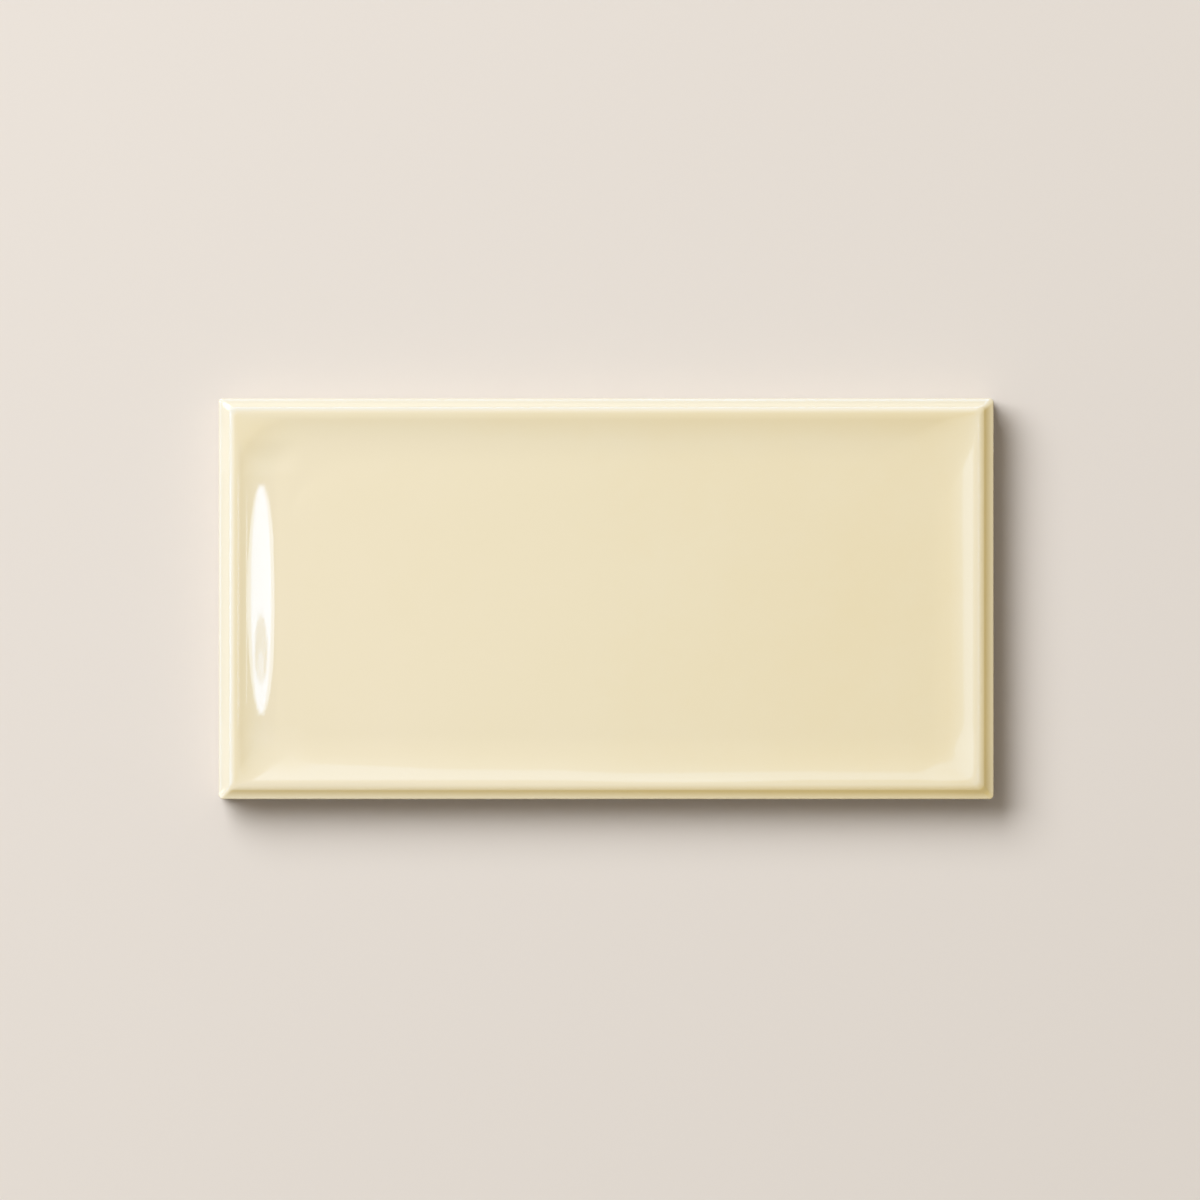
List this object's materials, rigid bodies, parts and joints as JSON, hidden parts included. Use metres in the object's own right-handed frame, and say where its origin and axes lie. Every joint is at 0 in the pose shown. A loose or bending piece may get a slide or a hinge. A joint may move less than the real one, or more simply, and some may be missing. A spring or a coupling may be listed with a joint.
{
  "type": "wall tile",
  "caption": "Oblong glazed ceramic wall tile with a narrow bevel, a soft raised rim, a shallow dished face and a keyed back for adhesive.",
  "frame": {"origin": "centre of the keyed back, in the plane of its ribs and border", "axes": "+X along the tile's length, +Y along its width, +Z out of the glazed face"},
  "size_m": [0.15, 0.0776, 0.008],
  "materials": {
    "cream_glaze": "gloss"
  },
  "bodies": {
    "root": {"wall_tile": "cream_glaze"}
  },
  "joints": []
}
